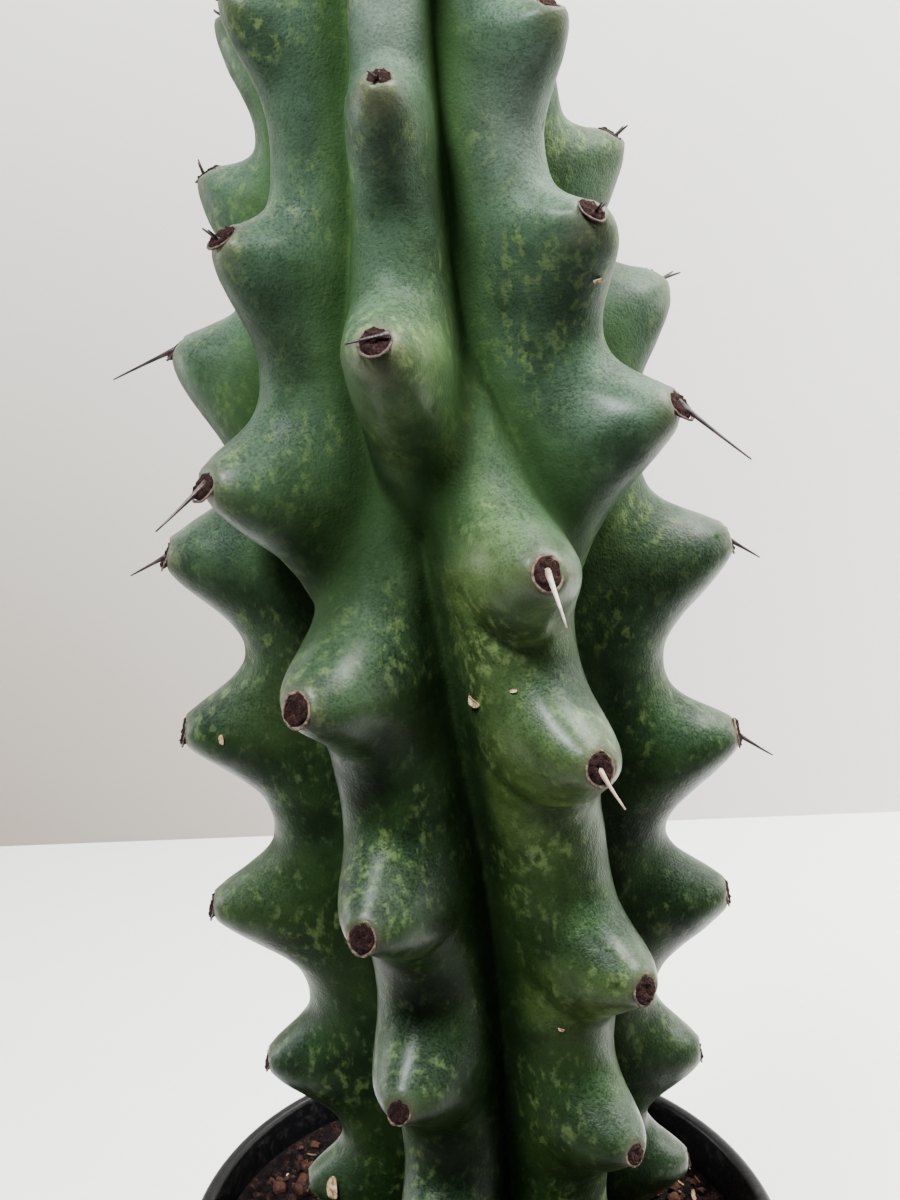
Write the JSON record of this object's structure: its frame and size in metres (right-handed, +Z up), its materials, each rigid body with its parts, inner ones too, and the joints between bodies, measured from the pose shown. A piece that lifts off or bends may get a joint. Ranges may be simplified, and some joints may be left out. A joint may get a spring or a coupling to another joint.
{
  "type": "potted cactus",
  "caption": "Knobbly columnar cactus with blunt nipple-like knobs and short spines, in a round black nursery pot with gritty soil.",
  "frame": {"origin": "middle of the pot's underside, on the surface it stands on", "axes": "+Z up along the pot's axis, -Y towards the side the picture shows; the stem leans slightly to -X"},
  "size_m": [0.1242, 0.12, 0.3894],
  "materials": {
    "pot_plastic": "satin black moulded polypropylene, slightly greyed along the lip",
    "potting_soil": "matte dark peat with white perlite and tan bark chips",
    "cactus_skin": "soft semi-gloss mottled green skin with a pale bloom",
    "areole_felt": "dark maroon-brown felt with a paler rim",
    "spine": "smooth dry spine, dark reddish brown to pale horn",
    "perlite": "matte white porous grit",
    "bark_chip": "matte tan bark and straw"
  },
  "bodies": {
    "root": {"pot": "pot_plastic", "soil": "potting_soil", "stem": "cactus_skin"}
  },
  "joints": []
}
